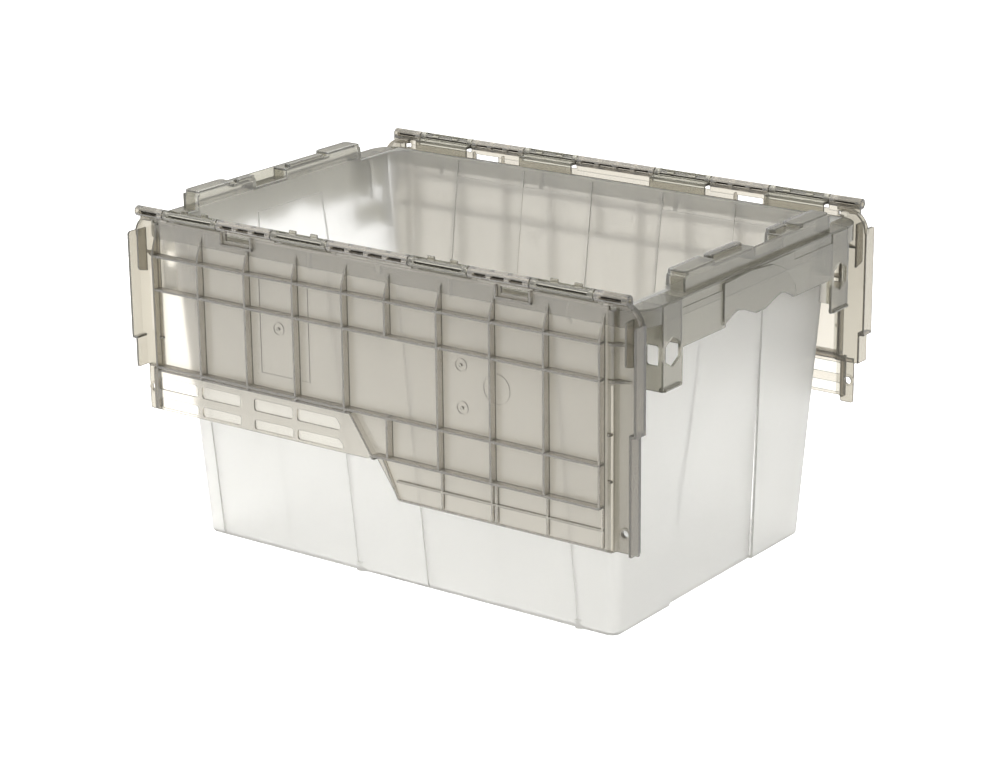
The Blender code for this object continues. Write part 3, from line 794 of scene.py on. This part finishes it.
def lid_plastic():
    """Almost clear, with a darker colour painted over the end zones as shade."""
    # The rim colour is painted shade for the end zones.
    return frosted("lid_polypropylene", base=(0.93, 0.91, 0.86), rim=(0.6, 0.58, 0.52), walls=(0.243, 1),
                   rough=0.18, milk=0.11, absorb=(0.47, 0.43, 0.35), density=330, grain=0.15)


def body_plastic():
    """Frosted; its rim and everything beyond the tub's walls are clearer, with a darker colour painted there
    as shade.
    """
    # The rim colour is painted shade for the rim, skirts, legs, grip and dam.
    return frosted("body_polypropylene", base=(0.965, 0.965, 0.96), rim=(0.54, 0.525, 0.46),
                   walls=(0.2535, 0.1765), rough=0.44, milk=0.12, absorb=(0.5, 0.49, 0.44), density=115,
                   grain=0.3)


def wire_steel():
    """Dark drawn wire: fine lines along its length and slight stains."""
    material, tree, shader = new_material("drawn_steel", Metallic=1)
    stretch = add_node(tree, "Mapping", Scale=(12, 900, 900))
    tree.links.new(add_node(tree, "TexCoord").outputs["Object"], stretch.inputs["Vector"])
    lines = noise(tree, stretch.outputs["Vector"], 1, 3)
    tone = two_tone(tree, lines, (0.012, 0.011, 0.01), (0.05, 0.047, 0.042))
    tree.links.new(tone, shader.inputs["Base Color"])
    tree.links.new(remap(tree, lines, 0, 1, 0.25, 0.5), shader.inputs["Roughness"])
    return material


# ---------------------------------------------------------------- the tote

def make_tote():
    """The five pieces: the body, and a lid with its rod on each long side."""
    show(body_mesh(), "body_shell", "tote", "tote_body", body_plastic())
    lid, rod = lid_mesh(), rod_mesh()
    plastic, steel = lid_plastic(), wire_steel()
    for name, side in (("front", -1), ("rear", 1)):
        place = Matrix.Translation((0, side * HINGE_Y * MM, HINGE_Z * MM))
        if side > 0:
            place = place @ Matrix.Rotation(math.pi, 4, "Z")
        lid_name, rod_name = name + "_lid", name + "_hinge_rod"
        turned = lid.copy()
        turned.transform(place)
        show(turned, lid_name + "_moulding", lid_name, lid_name, plastic)
        wire = rod.copy()
        wire.transform(place)
        show(wire, name + "_wire", frame["nodes"][rod_name]["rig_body"], rod_name, steel)


# ---------------------------------------------------------------- studio and camera

POOL = (1.75, 1.0, 0.5)         # light of the floor under the tote, around it, and beyond 5 m
DOME = (0.5, 2.0)               # light of the studio near eye level, and overhead
KEY = (0.6, 2.0)                # share of it behind and to the right, and in front and to the left
KEY_SIDE = (-0.45, -0.84, 0.3)
SKY_TINT = (1, 0.993, 0.975, 1)
FLOOR_REACH = 30                # metres
VIEW = (36.1, 17.7, -0.6)       # azimuth, elevation and roll, in degrees
TARGET = (-1.96, 0, 147.5)      # what the camera looks at
DISTANCE = 2619.25
LENS = 102.06                   # for a sensor 36 mm wide


def sky():
    """A white studio: brighter overhead, and brightest in front and to the left."""
    world = bpy.data.worlds.new("studio")
    bpy.context.scene.world = world
    world.use_nodes = True
    tree = world.node_tree
    background = tree.nodes["Background"]
    background.inputs["Color"].default_value = SKY_TINT
    place = add_node(tree, "TexCoord").outputs["Generated"]
    axes = add_node(tree, "SeparateXYZ")
    tree.links.new(place, axes.inputs["Vector"])
    facing = add_node(tree, "VectorMath")
    facing.operation = "DOT_PRODUCT"
    facing.inputs[1].default_value = KEY_SIDE
    tree.links.new(place, facing.inputs[0])
    dome = remap(tree, axes.outputs["Z"], 0.1, 0.95, *DOME)
    key = remap(tree, facing.outputs["Value"], -0.6, 1, *KEY)
    tree.links.new(maths(tree, "MULTIPLY", dome, key), background.inputs["Strength"])


def floor_paint():
    """Grey paint with a white light of its own, brighter in a pool under the tote and dimmer far away."""
    paint, tree, shader = new_material("floor_paint", Base_Color=(0.3, 0.3, 0.3, 1), Roughness=0.9,
                                       Emission_Color=(1, 1, 1, 1))
    reach = add_node(tree, "VectorMath")
    reach.operation = "LENGTH"
    tree.links.new(add_node(tree, "TexCoord").outputs["Object"], reach.inputs[0])
    distance = reach.outputs["Value"]
    pool = remap(tree, distance, 0.5, 1.5, POOL[0], POOL[1], smooth=True)
    edge = remap(tree, distance, 3, 5, 1, POOL[2], smooth=True)
    tree.links.new(maths(tree, "MULTIPLY", pool, edge), shader.inputs["Emission Strength"])
    return paint


def floor():
    """A wide round floor, just under the tote's own base."""
    bm = bmesh.new()
    bmesh.ops.create_circle(bm, cap_ends=True, segments=64, radius=FLOOR_REACH)
    mesh = bpy.data.meshes.new("floor")
    bm.to_mesh(mesh)
    bm.free()
    mesh.materials.append(floor_paint())
    plane = bpy.data.objects.new("floor", mesh)
    plane.location = (-0.6, -0.1, -0.0004)
    bpy.context.scene.collection.objects.link(plane)


def light_paths():
    """Enough bounces to see through all the clear walls, and plain colours."""
    scene = bpy.context.scene
    scene.view_settings.view_transform = "Standard"
    scene.cycles.max_bounces = 28
    scene.cycles.transmission_bounces = 28
    scene.cycles.glossy_bounces = 8
    scene.cycles.diffuse_bounces = 4


def camera():
    """The camera, placed from its angles and distance."""
    azimuth, elevation, roll = (math.radians(angle) for angle in VIEW)
    forward = Vector((-math.sin(azimuth) * math.cos(elevation), math.cos(azimuth) * math.cos(elevation),
                      -math.sin(elevation)))
    level = Vector((math.cos(azimuth), math.sin(azimuth), 0))
    upright = level.cross(forward)
    right = level * math.cos(roll) + upright * math.sin(roll)
    up = upright * math.cos(roll) - level * math.sin(roll)
    data = bpy.data.cameras.new("camera")
    data.sensor_width = 36
    data.lens = LENS
    data.clip_end = 100
    eye = bpy.data.objects.new("camera", data)
    bpy.context.scene.collection.objects.link(eye)
    turn = Matrix((right, up, -forward)).transposed().to_4x4()
    place = (Vector(TARGET) - forward * DISTANCE) * MM
    eye.matrix_world = Matrix.Translation(place) @ turn
    bpy.context.scene.camera = eye


make_tote()
sky()
floor()
light_paths()
camera()
